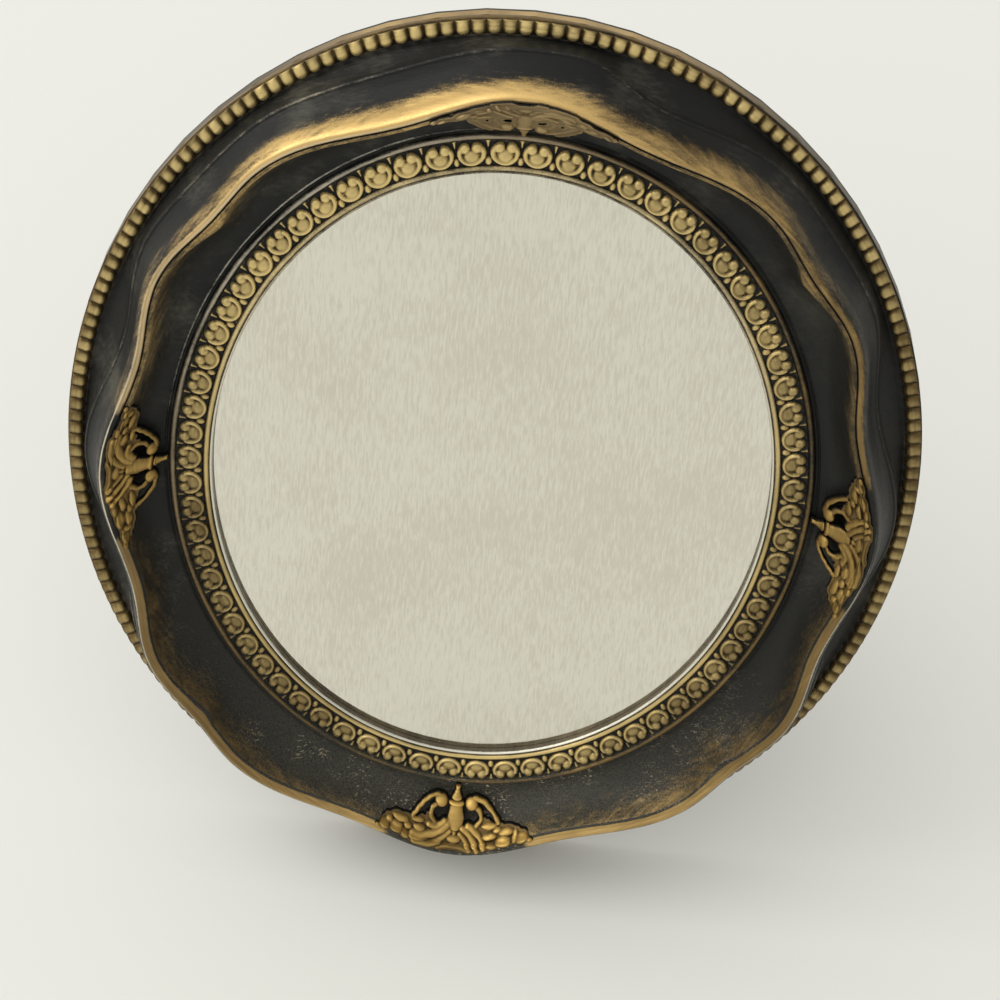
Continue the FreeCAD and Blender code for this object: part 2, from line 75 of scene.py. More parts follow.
# Cove and swept ridge
ridge_rise = 18.3
band_width = 3.4
band_drop = 1.5
bulge_out = 35.5
dip_out = 30.2
lobe_out = 36.6
beak_out = 34.4
beak_reach = 1.8
beak_slow_angle = 8.5
beak_slow_power = 1.5
beak_quick_angle = 2.4
beak_slow_sides = (1, 1, 1, -1)
crest_bead_width = 1.3
band_groove_width = 0.6
band_groove_depth = 0.6
band_swell = 0.9
band_round_share = 0.55
band_slant_share = 0.45
band_edge_rise = 0.45
dip_from_top_angle = 18.0
dip_from_side_angle = 17.0
beak_angle = 48.0
lobe_from_beak_angle = 10.0
cove_end_angle = 75.0

# Outer slope and its step
slope_run = 2.6
slope_drop = 4.6
step_rise = 1.8
step_from_bulge = 8.6
step_from_dip = 6.6
step_from_lobe = 7.2
step_lip = 1.1
slope_sag = 2.3

# Eggs, beads, channel and ring
egg_count = 70
egg_half_width = 4.95
egg_half_length = 4.6
egg_phase_share = -0.017
egg_row_margin = 0.12
egg_shift = 0.3
egg_wear_range = (0.6, 1.15)
bead_row_out = 48.2
bead_length = 5.2
bead_height = 2.2
bead_count = 200
bead_tall_range = (0.88, 1.06)
bead_waist_most = 0.08
bed_gap = 0.03
channel_gap = 0.02
sunk_depth = 0.3
channel_depth = 6.4
channel_margin = 0.5
face_depth = 8.0
ring_depth = 12.4
rebate_out = 5.6

# The cartouches
cartouche_head_margin = 1.2
cartouche_half_width = 30.0
carving_length = 26.4
relief_limit = 2.3
plate_thickness = 1.0
plate_half_width = 29.0
boss_fullness = 1.15
stroke_fullness = 1.25
side_cover_angle = 10.0
bottom_cover_angle = 12.0
cover_margin_angle = 1.5
hand_sway = 0.2
hand_cut_depth = 0.12

# What follows from the sizes above
bed_out = lip_width + bed_width
fillet_out = bed_out + fillet_width
fillet_rise = bed_rise + fillet_height
cove_out = fillet_out + groove_width
band_rise = ridge_rise - band_drop
face_out = bead_row_out + bead_length / 2 + channel_margin
channel_in = bead_row_out - bead_length / 2 - channel_margin
egg_row_out = lip_width + bed_width / 2
band_top = band_rise + band_swell
beak_angles = (beak_angle, 180 - beak_angle, 180 + beak_angle, 360 - beak_angle)
covered_places = ((90, side_cover_angle), (180, bottom_cover_angle), (270, side_cover_angle))

# Places around the frame where its form or its tone changes: the middle of each, clockwise from the
# top, and its spread, in degrees. A third number is how much it adds there.
step_shallows = ((343, 13, 4.6), (9, 6, 3.6))
cove_gold_places = ((282, 22, 5.0), (232, 20, 10.0), (138, 28, 10.0), (66, 20, 2.0), (312, 12, 5.0))
cove_bright_places = ((312, 12, 0.2), (232, 20, 0.12))
rubbed_crest_places = ((75, 45, 0.16), (300, 24, 0.12), (38, 24, 0.28))
slope_gold_places = ((322, 42, 0.18), (348, 22, 0.40), (28, 20, 0.3))
crest_fade_places = ((348, 22, -0.9), (75, 45, 1.2), (308, 20, 1.6))
slope_fade_places = ((348, 22, -3.6), (28, 20, -4.6))
# A pale line along the crest's outer edge at the sides: a painted highlight.
edge_highlight_places = ((262, 42, 1.0), (112, 22, 1.0))
# Where painted highlights fall on the fillet, the crest and the step
lit_fillet = (318, 42)
lit_crest = (322, 42)
lit_step = (320, 45)
worn_wall = (55, 30)
dusty_cove = (180, 45)
# Where the dusty grey on the black is held back: painted shade on the right side.
painted_shade_side = (80, 50)
brighter_beads = (38, 26)

# How bright the gilding's tone is around the frame, from 1 down to darker places at the sides: angles
# and shares
gilt_brightness_places = (
    (0, 1.0), (25, 0.66), (50, 0.5), (75, 0.45), (100, 0.40), (130, 0.42), (155, 0.75), (175, 0.9),
    (200, 0.7), (225, 0.42), (255, 0.45), (275, 0.55), (300, 0.75), (325, 0.95), (345, 1.0), (360, 1.0),
)

# Where the lower half begins and where it is full, as shares of the way down from the middle
lower_half_shares = (-0.25, 0.35)
# Where the lip's painted highlight begins and where it is full, in the same shares
lit_lip_shares = (-0.75, 0.1)

# How gilded each form of the face is, from 0 for bare black to 1, and how pale the gold is there. The
# pale numbers and those for lit places paint highlights.
tongue_gold = 0.1
bed_gold = 0.22
fillet_gold = 0.24
fillet_top_gold = 0.34
fillet_lit_gold = 0.12
fillet_lit_pale = 0.55
arris_gold = 0.08
arris_lit_gold = 0.4
cove_gold = 0.41
upper_band_gold = 0.40
beak_gold = 0.1
lower_band_gold = 0.12
lower_edge_gold = 0.8
groove_gold = 0.08
lower_groove_gold = 0.82
crest_gold = 0.94
crest_pale = 0.6
slope_gold = 0.22
lower_slope_loss = 0.1
edge_gold = 0.85
edge_pale = 0.9
nose_gold = 0.16
nose_lit_gold = 0.1
nose_least_gold = 0.04
nose_pale = 0.4
drop_gold = 0.1
channel_gold = 0.5
channel_wear = 0.2
wall_gold = 0.75
wall_wear = 0.4

# Waverings around the frame: the size, the count and the start of each wave
fillet_wear = ((0.1, 3, 1), (0.07, 17, 0))
lip_wear = ((0.03, 9, 1), (0.03, 23, 2))

# Where the looking glass stands and how far it leans, both read from the model
back_normal = Vector(next(j["axis"] for j in frame["joints"] if j["name"].startswith("turn_button")))
lean = atan2(-back_normal.z, back_normal.y)
glass_low, glass_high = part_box("mirror_glass")
glass_middle = (glass_low + glass_high) / 2 - back_normal * (glass_thickness / 2 * mm)


def placed(turn, out, rise):
    """Points in the row frame, in metres, from arrays of turns, distances out and rises."""
    x = (sight_half_width + out) * np.sin(turn)
    z = (sight_half_height + out) * np.cos(turn)
    x, y, z = np.broadcast_arrays(x, -rise, z)
    row_y = y * cos(lean) + z * sin(lean)
    row_z = z * cos(lean) - y * sin(lean)
    return np.stack([x, row_y, row_z], axis=-1) * mm + np.array(glass_middle)


def smooth_step(low, high, value):
    """0 below low, 1 above high, and a smooth curve between them."""
    share = np.clip((value - low) / (high - low), 0, 1)
    return share * share * (3 - 2 * share)


def bump(value, middle, spread):
    """A bell curve of height 1."""
    return np.exp(-(((value - middle) / spread) ** 2))


def degrees_apart(turn, angle):
    """How far a turn lies past an angle, from -180 to 180 degrees."""
    return (np.degrees(turn) - angle + 180) % 360 - 180


def angle_bump(turn, middle_angle, spread_angle):
    """A bell curve around the frame, with its middle at an angle in degrees."""
    return bump(degrees_apart(turn, middle_angle), 0, spread_angle)


def raised_at(turn, base, places):
    """A number around the frame, with more of it at each of some places."""
    for middle_angle, spread_angle, more in places:
        base = base + more * angle_bump(turn, middle_angle, spread_angle)
    return base


def uneven(turn, waves):
    """A wavering around the frame."""
    return sum(size * np.sin(count * turn + start) for size, count, start in waves)


def wave(turn, bulge, dip, lobe, beak):
    """A smooth wave around the frame through four kinds of station, the same in every quarter."""
    stations = (
        (0, bulge),
        (dip_from_top_angle, dip),
        (beak_angle - lobe_from_beak_angle, lobe),
        (beak_angle, beak),
        (beak_angle + lobe_from_beak_angle, lobe),
        (90 - dip_from_side_angle, dip),
        (90, bulge),
    )
    half_turn = np.degrees(turn) % 180
    angle = np.minimum(half_turn, 180 - half_turn)
    result = np.full(np.shape(turn), float(bulge))
    for (angle_a, out_a), (angle_b, out_b) in zip(stations, stations[1:]):
        share = (angle - angle_a) / (angle_b - angle_a)
        between = out_a + (out_b - out_a) * (1 - np.cos(pi * share)) / 2
        result = np.where((angle >= angle_a) & (angle <= angle_b), between, result)
    return result


def crest_at(turn):
    """How far out the crest of the ridge lies."""
    return wave(turn, bulge_out, dip_out, lobe_out, beak_out)


def step_at(turn):
    """How far out the step in the outer slope lies. It dips inwards less beside the top."""
    even = wave(
        turn,
        bulge_out + step_from_bulge,
        dip_out + step_from_dip,
        lobe_out + step_from_lobe,
        beak_out + step_from_bulge,
    )
    return raised_at(turn, even, step_shallows)


def beak_nearness(turn):
    """1 at a beak's tip, falling slowly on one side of it and at once on the other."""
    result = np.zeros(np.shape(turn))
    for angle, slow_side in zip(beak_angles, beak_slow_sides):
        apart = degrees_apart(turn, angle) * slow_side
        slow = np.clip(1 - apart / beak_slow_angle, 0, 1) ** beak_slow_power
        quick = np.clip(1 + apart / beak_quick_angle, 0, 1)
        result = np.maximum(result, np.where(apart > 0, slow, quick))
    return result


def band_at(turn):
    """How far out the inner edge of the gilded band lies. It points inwards at each beak."""
    return crest_at(turn) - band_width - beak_reach * beak_nearness(turn)


def softened(height, reach):
    """A grid of heights, each averaged with those around it."""
    steps = range(-reach, reach + 1)
    total = sum(np.roll(height, step, axis=0) for step in steps)
    return sum(np.roll(total, step, axis=1) for step in steps) / len(steps) ** 2


def standing_out(height, reach, gain):
    """How hollow and how proud each place is beside those around it, both from 0 to 1."""
    above = (height - softened(height, reach)) * gain
    return np.clip(-above, 0, 1), np.clip(above, 0, 1)


def in_scene(name, data):
    """A new object in the scene."""
    piece = bpy.data.objects.new(name, data)
    bpy.context.scene.collection.objects.link(piece)
    return piece


def ring_mesh(name, points, marks):
    """A closed ring from a grid of points [around, across], with named numbers kept for its material."""
    around, across = points.shape[:2]
    number = np.arange(around * across).reshape(around, across)
    after = np.roll(number, -1, axis=0)
    quads = np.stack([number, np.roll(number, -1, axis=1), np.roll(after, -1, axis=1), after], axis=-1)
    mesh = bpy.data.meshes.new(name)
    mesh.from_pydata(points.reshape(-1, 3).tolist(), [], quads.reshape(-1, 4).tolist())
    return finished_object(name, mesh, marks)


def carved_mesh(name, front, back, carved, marks):
    """A pierced plate from two grids of points, made where it is carved. The rim is on the back one."""
    count = carved.size
    number = np.arange(count).reshape(carved.shape)
    back_number = np.where(carved, number + count, number)
    wanted = carved[:-1, :-1] | carved[:-1, 1:] | carved[1:, 1:] | carved[1:, :-1]
    quads = []
    for grid, corners in ((number, (0, 1, 2, 3)), (back_number, (3, 2, 1, 0))):
        sides = (grid[:-1, :-1], grid[:-1, 1:], grid[1:, 1:], grid[1:, :-1])
        quads.append(np.stack([sides[corner] for corner in corners], axis=-1)[wanted])
    quads = np.concatenate(quads)
    front = np.where(carved[..., None], front, back)
    points = np.concatenate([front.reshape(-1, 3), back.reshape(-1, 3)])
    used = np.unique(quads)
    renumber = np.zeros(2 * count, int)
    renumber[used] = np.arange(len(used))
    mesh = bpy.data.meshes.new(name)
    mesh.from_pydata(points[used].tolist(), [], renumber[quads].tolist())
    doubled = {key: np.tile(value.reshape(-1), 2)[used] for key, value in marks.items()}
    return finished_object(name, mesh, doubled)


def finished_object(name, mesh, marks):
    """Puts a mesh in the scene, smoothly shaded, with a number per point for each mark."""
    mesh.update()
    mesh.polygons.foreach_set("use_smooth", [True] * len(mesh.polygons))
    for key, values in marks.items():
        attribute = mesh.attributes.new(key, "FLOAT", "POINT")
        attribute.data.foreach_set("value", np.asarray(values, np.float32).reshape(-1))
    return in_scene(name, mesh)


def ring_marks(turn, out, gold, relief, pale=0.0):
    """The numbers that the materials read: gold, how proud, how pale (pale gold paints highlights), and
    the place on the ring.
    """
    turn, out, gold, relief, pale = np.broadcast_arrays(turn, out, gold, relief, pale)
    marks = {"gold": gold, "relief": relief, "pale": pale}
    return {**marks, "ring_x": np.sin(turn), "ring_y": np.cos(turn), "ring_out": out}


# The moulded face
face_turns = 1440
lip_turns = 720


def cove_rise(share):
    """Rise of the cove, as a share of its height, at a share of its width."""
    end = radians(cove_end_angle)
    angle = np.arcsin(np.clip(share * sin(end), -1, 1))
    return (1 - np.cos(angle)) / (1 - cos(end))


def lower_half(turn):
    """1 in the lower half of the frame and 0 in the upper."""
    return smooth_step(*lower_half_shares, -np.cos(turn))


def gilt_brightness(turn):
    """How bright the gilding's tone is around the frame."""
    return np.interp(np.degrees(turn) % 360, *zip(*gilt_brightness_places))


def under_cartouche(turn):
    """1 where a side or bottom cartouche covers the ridge, and 0 away from it."""
    covered = 0 * turn
    for angle, half_angle in covered_places:
        apart = np.abs(degrees_apart(turn, angle))
        inside = smooth_step(half_angle + cover_margin_angle, half_angle - cover_margin_angle, apart)
        covered = np.maximum(covered, inside)
    return covered


def gilding(turn, inward):
    """Rubbed gold in the cove, by the distance inwards from the band."""
    reach = raised_at(turn, 1.0, cove_gold_places)
    return cove_gold * raised_at(turn, 1, cove_bright_places) * np.exp(-inward / reach)


def shares(count, first=0.0, last=1.0):
    """A count of shares along one stretch of the section."""
    return np.linspace(first, last, count)[None, :]


class Section:
    """The section of the moulding, one stretch after another, which may change around the ring."""

    def __init__(self, turn):
        self.turn = turn
        self.stretches = []

    def add(self, out, rise, gold, pale=0.0):
        """One more stretch: distances out and rises, and how gilded and how pale it is."""
        whole = self.turn + 0 * np.atleast_2d(out)
        self.stretches.append(np.broadcast_arrays(out, rise, gold, pale, whole)[:4])

    def joined(self):
        """All the stretches together, as four grids."""
        return [np.concatenate(parts, axis=1) for parts in zip(*self.stretches)]


def add_bed(section):
    """The tongue's end, the flat bed of the eggs, and the fillet, groove and arris around it."""
    section.add(lip_width + 0 * shares(2), bed_rise * shares(2), tongue_gold)
    section.add(lip_width + bed_width * shares(8, 0.02, 0.98), bed_rise, bed_gold)
    arch = pi * shares(11)
    # Where the light falls, the fillet's top is painted paler and more gilded: a painted highlight.
    lit = angle_bump(section.turn, *lit_fillet)
    top_gold = (fillet_top_gold + fillet_lit_gold * lit) * np.sin(arch) ** 3
    section.add(
        bed_out + fillet_width / 2 - fillet_width / 2 * np.cos(arch),
        bed_rise + fillet_height * np.sin(arch),
        fillet_gold + top_gold + uneven(section.turn, fillet_wear),
        fillet_lit_pale * lit,
    )
    dip = shares(4, 0.25, 0.9)
    section.add(fillet_out + groove_width * dip, bed_rise - groove_depth * np.sin(pi * dip), 0.0)
    # The arris carries a thin pale line, stronger where the light falls: a painted highlight.
    arris = shares(5)
    section.add(
        cove_out + arris_width * arris,
        bed_rise + arris_height * np.sin(pi * arris) ** 0.6,
        arris_gold + arris_lit_gold * lit,
        1.0,
    )


def add_cove_and_band(section):
    """The cove, the gilded band at its head, and the groove along the band."""
    turn = section.turn
    band = band_at(turn)
    low = lower_half(turn)
    covered = under_cartouche(turn)
    share = shares(30, 0.02)
    section.add(
        cove_out + arris_width + (band - cove_out - arris_width) * share,
        bed_rise + (band_rise - bed_rise) * cove_rise(share),
        gilding(turn, (band - cove_out) * (1 - share)),
    )
    groove_out = crest_at(turn) - crest_bead_width
    groove_in = groove_out - band_groove_width
    flat = shares(12, 0.05)
    rounding = band_round_share * np.sin(pi / 2 * np.minimum(3 * flat, 1))
    upper_gold = (upper_band_gold + beak_gold * beak_nearness(turn)) * (1 - low)
    lower_gold = (lower_band_gold + lower_edge_gold * smooth_step(0.3, 0.75, flat)) * low
    section.add(
        band + (groove_in - band) * flat,
        band_rise + band_swell * (rounding + band_slant_share * flat),
        (upper_gold + lower_gold) * (1 - 0.8 * covered),
    )
    sunk = shares(6, 0.15, 0.9)
    section.add(
        groove_in + band_groove_width * sunk,
        band_top - band_groove_depth * (1 - 0.95 * low) * np.sin(pi * sunk),
        groove_gold + lower_groove_gold * low * (1 - covered),
    )


def add_crest_and_slope(section):
    """The bead on the crest and its fall, the outer slope, and the step with its drop."""
    turn = section.turn
    crest = crest_at(turn)
    low = lower_half(turn)
    covered = under_cartouche(turn)
    swell = shares(7, 0.1)
    top_gold = (crest_gold - raised_at(turn, 0, rubbed_crest_places)) * (1 - 0.9 * covered)
    # The crest is painted pale where the light falls: a painted highlight.
    section.add(
        crest - crest_bead_width + crest_bead_width * swell,
        band_top + (ridge_rise - band_top) * np.sin(pi / 2 * swell),
        top_gold,
        crest_pale * angle_bump(turn, *lit_crest) * np.sin(pi * swell) ** 2,
    )
    fall = shares(14, 0.06)
    glow = raised_at(turn, slope_gold, slope_gold_places) - lower_slope_loss * low
    faded = np.minimum(fall * raised_at(turn, 1.8 + 1.5 * low, crest_fade_places), 1)
    # A pale line along the crest's outer edge at the sides, more gilded under the cartouches: a painted
    # highlight.
    edge_highlight_line = np.clip(raised_at(turn, 0, edge_highlight_places), 0, 1) * bump(fall, 0.14, 0.08)
    section.add(
        crest + slope_run * fall**0.75,
        ridge_rise - slope_drop * fall**1.9,
        top_gold + (glow - top_gold) * faded + edge_gold * covered * edge_highlight_line,
        edge_pale * edge_highlight_line,
    )
    run = shares(22, 0.05)
    step = step_at(turn)
    slope_top = crest + slope_run
    slope_end = step - step_lip
    nose_rise = step_rise + step_lip
    sag = slope_sag * np.sin(pi * run**0.8)
    section.add(
        slope_top + (slope_end - slope_top) * run,
        ridge_rise - slope_drop + (nose_rise - ridge_rise + slope_drop) * run - sag,
        glow * np.exp(-run * raised_at(turn, 7, slope_fade_places)),
    )
    # A pale gold line along the step's nose, stronger where the light falls: a painted highlight.
    nose = shares(8, 0.1)
    lit_gold = nose_gold + nose_lit_gold * angle_bump(turn, *lit_step)
    section.add(
        slope_end + step_lip * np.sin(pi / 2 * nose),
        nose_rise - step_lip * (1 - np.cos(pi / 2 * nose)),
        lit_gold * np.sin(pi * nose) + nose_least_gold,
        nose_pale,
    )
    drop = shares(10, 0.1)
    section.add(
        step + (channel_in - step) * drop**1.6,
        step_rise - (step_rise + channel_depth) * drop,
        drop_gold,
    )


def add_channel_and_back(section):
    """The channel of the outer beads, the outer wall, the flat back and the wall of the rebate."""
    worn = angle_bump(section.turn, *worn_wall)
    floor_out = channel_in + (face_out - channel_in) * shares(6, 0.1)
    section.add(floor_out, -channel_depth, channel_gold - channel_wear * worn)
    wall_rise = -channel_depth - (face_depth - channel_depth) * shares(3, 0.3)
    section.add(face_out + 0 * wall_rise, wall_rise, wall_gold - wall_wear * worn)
    section.add(face_out - (face_out - rebate_out) * shares(4, 0.25), -face_depth, 0.0)
    section.add(rebate_out + 0 * shares(2), -face_depth * shares(2, 0.5, 0.0), 0.0)


def moulded_face():
    """The moulded front, from the tongue over the glass round to its flat back."""
    turn = np.linspace(0, 2 * pi, face_turns, endpoint=False)[:, None]
    section = Section(turn)
    for add_stretches in (add_bed, add_cove_and_band, add_crest_and_slope, add_channel_and_back):
        add_stretches(section)
    outs, rises, golds, pales = section.joined()
    relief = np.clip(rises / ridge_rise, 0, 1) * np.clip(1.5 * gilt_brightness(turn) - 0.5, 0, 1)
    marks = ring_marks(turn, outs, golds, relief, pales)
    marks["dusty"] = angle_bump(turn, *dusty_cove) + 0 * outs
    # A dusty grey over the black, partly dust and partly painted sheen, held back on the right side as
    # painted shade.
    marks["grey"] = 1 - 0.75 * angle_bump(turn, *painted_shade_side) + 0 * outs
    return ring_mesh("moulded_front", placed(turn, outs, rises), marks)


def face_rise(turn, out):
    """Rise of the cove and band at any place, which the cartouches stand on."""
    band = band_at(turn)
    crest = crest_at(turn)
    cove_share = np.clip((out - cove_out) / (band - cove_out), 0, 1)
    rise = bed_rise + (band_rise - bed_rise) * cove_rise(cove_share)
    edge = np.clip((out - band) / (crest - band), 0, 1)
    on_band = band_rise + band_edge_rise + (band_drop - band_edge_rise) * np.sin(pi / 2 * edge)
    fall = np.clip((out - crest) / slope_run, 0, 1)
    beyond = ridge_rise - slope_drop * fall**2.5
    rise = np.where(out > band, on_band, rise)
    rise = np.where(out > crest, beyond, rise)
    return np.where(out < cove_out, bed_rise, rise)


def sight_edge_lip():
    """The gilt lip at the edge of the glass: a fine bead, a groove and a wider roll, with painted
    highlight and shade.
    """
    turn = np.linspace(0, 2 * pi, lip_turns, endpoint=False)[:, None]
    # The lip's lower half is painted paler and more gilded, a painted highlight, and its upper half
    # darker, painted shade. The roll keeps a pale edge above, also a painted highlight.
    low = smooth_step(*lit_lip_shares, -np.cos(turn))
    arch = pi * shares(12)
    worn = uneven(turn, lip_wear)
    half = lip_bead_width / 2
    roll_half = (lip_width - lip_bead_width - 2 * hair) / 2
    section = Section(turn)
    section.add(hair, np.linspace(-silver_depth - hair, -hair, 4)[None, :], 0.5, 0.15)
    section.add(
        hair + half - half * np.cos(arch),
        (0.6 * lip_rise + worn) * np.sin(arch) ** 0.8,
        0.25 + (0.12 + 0.75 * low) * np.sin(arch),
        0.5 + 0.5 * low,
    )
    section.add(
        hair + lip_bead_width + roll_half - roll_half * np.cos(arch),
        (lip_rise + worn) * np.sin(arch) ** 0.7,
        0.16 + (0.34 + 0.42 * low) * np.sin(arch) ** 1.3,
        0.2 * (1 - low),
    )
    out, rise, gold, pale = section.joined()
    proud = np.sin(arch) * (0.3 + 0.7 * gilt_brightness(turn))
    relief = np.concatenate([np.zeros((lip_turns, 4)), proud, proud], axis=1)
    return ring_mesh("gilt_lip", placed(turn, out, rise), ring_marks(turn, out, gold, relief, pale))


def silvered_glass():
    """The looking glass as it shows, with its silvering two thirds of the way into it."""
    turn = np.linspace(0, 2 * pi, lip_turns, endpoint=False)
    front = placed(turn, glass_lap, -silver_depth)
    back = placed(turn, glass_lap, -glass_thickness)
    number = list(range(lip_turns))
    after = number[1:] + number[:1]
    walls = [(a, a + lip_turns, b + lip_turns, b) for a, b in zip(number, after)]
    caps = [tuple(number), tuple(a + lip_turns for a in reversed(number))]
    mesh = bpy.data.meshes.new("silvered_glass")
    mesh.from_pydata(np.concatenate([front, back]).tolist(), [], caps + walls)
    return in_scene("silvered_glass", mesh)


def row_grid(count, out, phase, steps):
    """Even turns along a row of things, with whose each is, how far from its middle, and the pitch."""
    total = count * steps
    fine = np.linspace(0, 2 * pi, 40 * total + 1)
    x = (sight_half_width + out) * np.sin(fine)
    z = (sight_half_height + out) * np.cos(fine)
    lengths = np.concatenate([[0], np.cumsum(np.hypot(np.diff(x), np.diff(z)))])
    wanted = lengths[-1] * ((np.arange(total) + phase * steps) % total) / total
    item = np.repeat(np.arange(count), steps)
    along = (np.tile(np.arange(steps), count) / steps - 0.5) * lengths[-1] / count
    return np.interp(wanted, lengths, fine), item, along, lengths[-1] / count


# The bosses of an egg and of a dart: middle, half sizes and height, with the rim and the wedge
egg_inner_boss = ((0, -1.35), (2.45, 2.3), 1.0)
egg_outer_boss = ((2.05, 2.0), (1.8, 1.95), 1.2)
dart_boss = ((0, -2.9), (1.15, 1.6), 1.3)
egg_base_height = 0.65
egg_rim_height = 1.05
egg_rim_share = 0.82
egg_rim_half_share = 0.18
cleft_depth = 2.2
cleft_half_width = 0.7
wedge_height = 0.6
wedge_in = 2.2
wedge_out = 4.5
wedge_tip = 0.2
wedge_flare = 0.42


def boss(s, v, middle, half_sizes, height):
    """A round boss of carving, and 0 outside it."""
    square = ((s - middle[0]) / half_sizes[0]) ** 2 + ((v - middle[1]) / half_sizes[1]) ** 2
    return height * np.sqrt(np.clip(1 - square, 0, None))


def egg_relief(s, v, pitch, wear):
    """Height of the eggs and darts at a distance s around and v out from the middle of an egg.

    Each egg is shaped like a heart: a rim that ends outwards in two fat lobes with a cleft between
    them, and a broad lobe inside it by the glass."""
    ring = np.hypot(s / egg_half_width, v / egg_half_length)
    cleft = smooth_step(5.2, 3.4, v + cleft_depth * bump(s, 0, cleft_half_width))
    base = egg_base_height * np.sqrt(np.clip(1 - ring**4, 0, None)) * cleft
    rim_share = (ring - egg_rim_share) / egg_rim_half_share
    rim = egg_rim_height * np.sqrt(np.clip(1 - rim_share**2, 0, None)) * smooth_step(3.4, 1.4, v)
    lobes = np.maximum(boss(s, v, *egg_inner_boss), boss(np.abs(s), v, *egg_outer_boss))
    raised = np.maximum(rim, lobes)
    egg = np.maximum(base + raised - 0.25 * (wear - 1), 0.1) * smooth_step(1.0, 0.93, ring)
    side = pitch / 2 - np.abs(s)
    tapered = np.clip(1 - side / (wedge_tip + wedge_flare * (v - wedge_in)), 0, 1)
    wedge = wedge_height * np.where((v > wedge_in) & (v < wedge_out), tapered, 0)
    return np.maximum(np.maximum(egg, boss(side, v, *dart_boss)), wedge)


def carved_gold(relief, hollow, levels, heights):
    """How gilded carving is: a least level, more of it between two heights, less in hollows as glaze and
    painted shade.
    """
    least, more, less = levels
    return least + more * smooth_step(*heights, relief) - less * hollow


def row_mesh(name, turns, row_out, v, rise, sunk_rise, gold, tone):
    """A strip of small carved things, closed below by two lines of points sunk into its bed."""
    turn = turns[:, None]
    out = row_out + v + 0 * turn
    sunk_out = row_out + np.array([[v.max(), v.min()]]) + 0 * turn
    points = np.concatenate([placed(turn, out, rise), placed(turn, sunk_out, sunk_rise)], axis=1)
    sunk = np.zeros(sunk_out.shape)
    pairs = ((out, out[:, :2]), (gold, sunk), (tone, sunk))
    out, gold, tone = (np.concatenate(pair, axis=1) for pair in pairs)
    return ring_mesh(name, points, ring_marks(turn, out, gold, tone))


def egg_and_dart_row():
    """The row of eggs and darts on its bed."""
    turns, item, along, pitch = row_grid(egg_count, egg_row_out, egg_phase_share, 34)
    half = bed_width / 2 - egg_row_margin
    v = np.linspace(-half, half, 40)[None, :]
    s = along[:, None]
    random = np.random.default_rng(4)
    wear = random.uniform(*egg_wear_range, egg_count)[item][:, None]
    shift = random.uniform(-egg_shift, egg_shift, egg_count)[item][:, None]
    relief = egg_relief(s - shift * np.cos(pi * s / pitch), v, pitch, wear)
    hollow, proud = standing_out(relief, 3, 2.2)
    gold = carved_gold(relief, hollow, (0.3, 0.65, 0.55), (0.15, 0.8))
    turn = turns[:, None]
    brightness = (0.1 + 0.9 * gilt_brightness(turn)) * (1 - 0.2 * lower_half(turn))
    # The eggs' tone is brighter on proud parts and darker in hollows: partly glaze, partly painted
    # highlight and shade.
    tone = (0.3 + 0.25 * relief + 0.6 * proud) * brightness
    rise = bed_rise + bed_gap + relief
    return row_mesh("eggs_and_darts", turns, egg_row_out, v, rise, bed_rise - sunk_depth, gold, tone)


def outer_bead_row():
    """The row of ribbed beads in the channel at the outer edge."""
    turns, item, along, pitch = row_grid(bead_count, bead_row_out, 0.0, 14)
    half = bead_length / 2
    v = np.linspace(-half, half, 18)[None, :]
    s = along[:, None]
    random = np.random.default_rng(9)
    tall = random.uniform(*bead_tall_range, bead_count)[item][:, None]
    rounded = (2 * s / (pitch * 1.01)) ** 2 + np.clip(-v / (half * 1.01), 0, 1) ** 2.6
    rib = np.sqrt(np.clip(1 - rounded, 0, 1))
    outer_end = 1 - 0.3 * np.clip(v / half, 0, 1) ** 2
    waist = random.uniform(0.0, bead_waist_most, bead_count)[item][:, None] * bump(v, 0.5, 0.7)
    relief = tall * rib * outer_end * (1 - waist)
    hollow, proud = standing_out(relief, 3, 3)
    gold = carved_gold(relief, hollow, (0.4, 0.55, 0.2), (0.15, 0.5))
    turn = turns[:, None]
    brightness = gilt_brightness(turn) + 0.35 * angle_bump(turn, *brighter_beads)
    # The beads' tone is brightest on each crown and dull on the flanks: a painted highlight.
    tone = (0.15 + 0.75 * smooth_step(0.55, 1.0, relief) + 0.3 * proud) * brightness
    rise = -channel_depth + channel_gap + bead_height * relief
    return row_mesh("outer_beads", turns, bead_row_out, v, rise, -channel_depth - sunk_depth, gold, tone)


def curve_distance(u, w, start, bend, end):
    """Distance to a quadratic curve, and the share along it of the nearest point."""
    nearest = np.full(u.shape, np.inf)
    share_there = np.zeros(u.shape)
    for share in np.linspace(0, 1, 25):
        weights = ((1 - share) ** 2, 2 * share * (1 - share), share**2)
        x = sum(weight * point[0] for weight, point in zip(weights, (start, bend, end)))
        y = sum(weight * point[1] for weight, point in zip(weights, (start, bend, end)))
        distance = np.hypot(u - x, w - y)
        closer = distance < nearest
        nearest = np.where(closer, distance, nearest)
        share_there = np.where(closer, share, share_there)
    return nearest, share_there


def stroke(u, w, points, radii, height):
    """A rounded, tapering stroke of carving, and 0 outside it."""
    distance, share = curve_distance(u, w, *points)
    radius = radii[0] + (radii[1] - radii[0]) * share
    return height * np.sqrt(np.clip(1 - (distance / radius) ** 2, 0, None))


